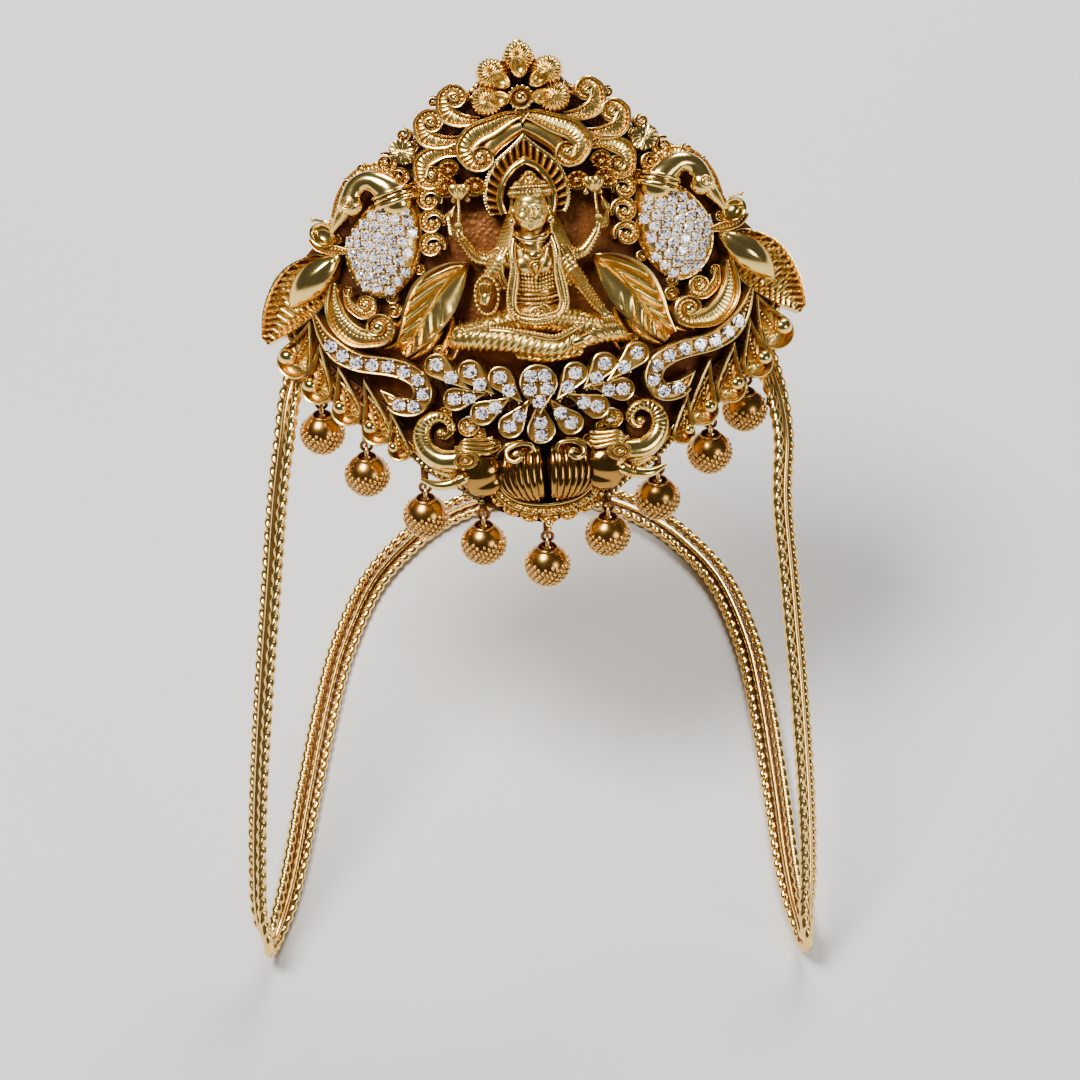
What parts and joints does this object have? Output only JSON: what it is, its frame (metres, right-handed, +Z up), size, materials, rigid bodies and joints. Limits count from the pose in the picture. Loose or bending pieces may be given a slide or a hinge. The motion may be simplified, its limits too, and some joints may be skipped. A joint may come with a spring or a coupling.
{
  "type": "bajuband armlet",
  "caption": "Antique gold bajuband armlet with a seated goddess between peacocks, white stones, granulated drops and a springy twisted-wire band",
  "frame": {"origin": "middle of the footprint, on the surface that the armlet lies on", "axes": "+X across the plaque to the wearer's view right, +Y away from the two front corners towards the top of the rear arch, +Z up"},
  "size_m": [0.0618, 0.0702, 0.0784],
  "materials": {
    "gold": "antique gold plate on cast brass, bright on the raised edges and rust-brown in the recesses",
    "dark_gold": "antique gold plate left dark, half matt",
    "stone": "clear faceted stones, polished"
  },
  "bodies": {
    "root": {"arm_band": "gold", "goddess": "gold", "halo": "gold", "lotus_seat": "gold", "crest_flower": "gold", "pot_fringe": "gold", "lotus_pot": "gold", "crest_scrolls_left": "gold", "crest_scrolls_right": "gold", "peacock_left": "gold", "peacock_right": "gold", "outer_leaf_left": "gold", "outer_leaf_right": "gold", "inner_leaf_left": "gold", "inner_leaf_right": "gold", "curl_scroll_left": "gold", "curl_scroll_right": "gold", "stone_scroll_left": "gold", "stone_scroll_right": "gold", "lobe_fan_left": "gold", "lobe_fan_right": "gold", "elephant_left": "gold", "elephant_right": "gold", "back_plate": "dark_gold", "bead_1": "dark_gold", "bead_2": "dark_gold", "bead_3": "dark_gold", "bead_4": "dark_gold", "bead_5": "dark_gold", "bead_6": "dark_gold", "bead_7": "dark_gold", "bead_8": "dark_gold", "bead_9": "dark_gold", "pin_1": "dark_gold", "pin_2": "dark_gold", "pin_3": "dark_gold", "pin_4": "dark_gold", "pin_5": "dark_gold", "pin_6": "dark_gold", "pin_7": "dark_gold", "pin_8": "dark_gold", "pin_9": "dark_gold", "lotus_stones": "stone", "peacock_stones_left": "stone", "peacock_stones_right": "stone", "scroll_stones_left": "stone", "scroll_stones_right": "stone"}
  },
  "joints": []
}
